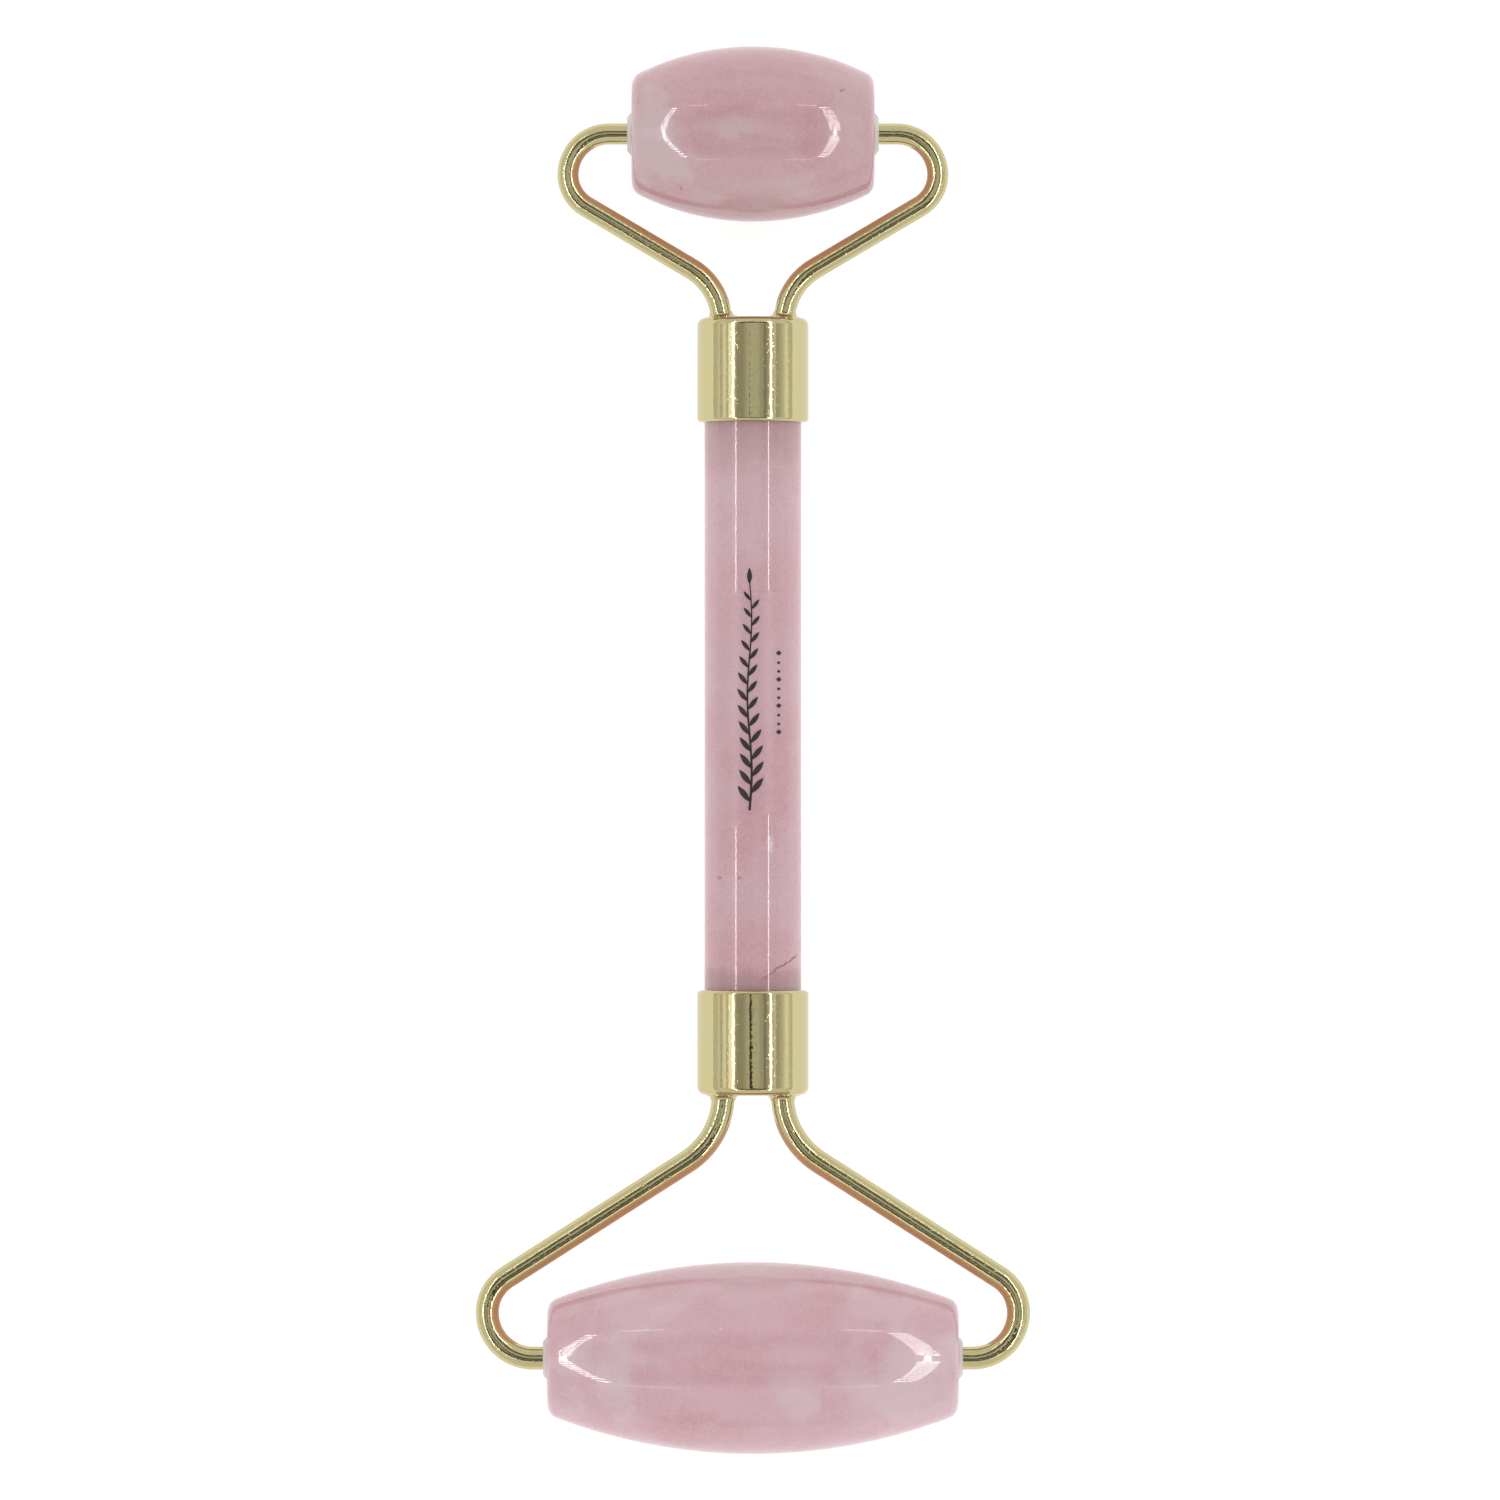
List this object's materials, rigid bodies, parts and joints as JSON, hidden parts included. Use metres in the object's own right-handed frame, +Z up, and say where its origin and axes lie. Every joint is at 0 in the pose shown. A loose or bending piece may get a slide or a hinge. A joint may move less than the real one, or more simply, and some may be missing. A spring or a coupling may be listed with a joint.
{
  "type": "face roller",
  "caption": "Two-ended facial massage roller: polished rose quartz rod handle in plated ferrules, with wire forks carrying barrel-shaped stone rollers on nylon bushes.",
  "frame": {"origin": "middle of the bounding box in X and Y, on the level surface that both rollers rest on", "axes": "+Z up from the resting surface, +Y along the handle towards the small roller, +X to the right, along both roller axles"},
  "size_m": [0.0572, 0.145, 0.0198],
  "materials": {
    "rose_quartz": "polished, slightly translucent, cloudy pale veins",
    "plated_ferrule": "pale gold plating, mirror polished",
    "plated_wire": "pale gold plating over round spring wire, polished",
    "plated_braze": "brazing metal under the same pale gold plating",
    "white_nylon": "natural white moulded nylon",
    "clear_epoxy": "clear epoxy, slightly yellow"
  },
  "bodies": {
    "handle_frame": {"handle_stone": "rose_quartz", "small_ferrule": "plated_ferrule", "small_ferrule_adhesive": "clear_epoxy", "small_left_arm": "plated_wire", "small_left_braze": "plated_braze", "small_right_arm": "plated_wire", "small_right_braze": "plated_braze", "large_ferrule": "plated_ferrule", "large_ferrule_adhesive": "clear_epoxy", "large_left_arm": "plated_wire", "large_left_braze": "plated_braze", "large_right_arm": "plated_wire", "large_right_braze": "plated_braze"},
    "small_roller": {"small_roller_stone": "rose_quartz", "small_left_bush": "white_nylon", "small_right_bush": "white_nylon"},
    "large_roller": {"large_roller_stone": "rose_quartz", "large_left_bush": "white_nylon", "large_right_bush": "white_nylon"}
  },
  "joints": [
    {"name": "small_roller_spin", "type": "hinge", "parent": "handle_frame", "child": "small_roller", "pos_m": [0, 0.06345, 0.00905], "axis": [1, 0, 0], "continuous": true},
    {"name": "large_roller_spin", "type": "hinge", "parent": "handle_frame", "child": "large_roller", "pos_m": [0, -0.0626, 0.0099], "axis": [1, 0, 0], "continuous": true}
  ]
}
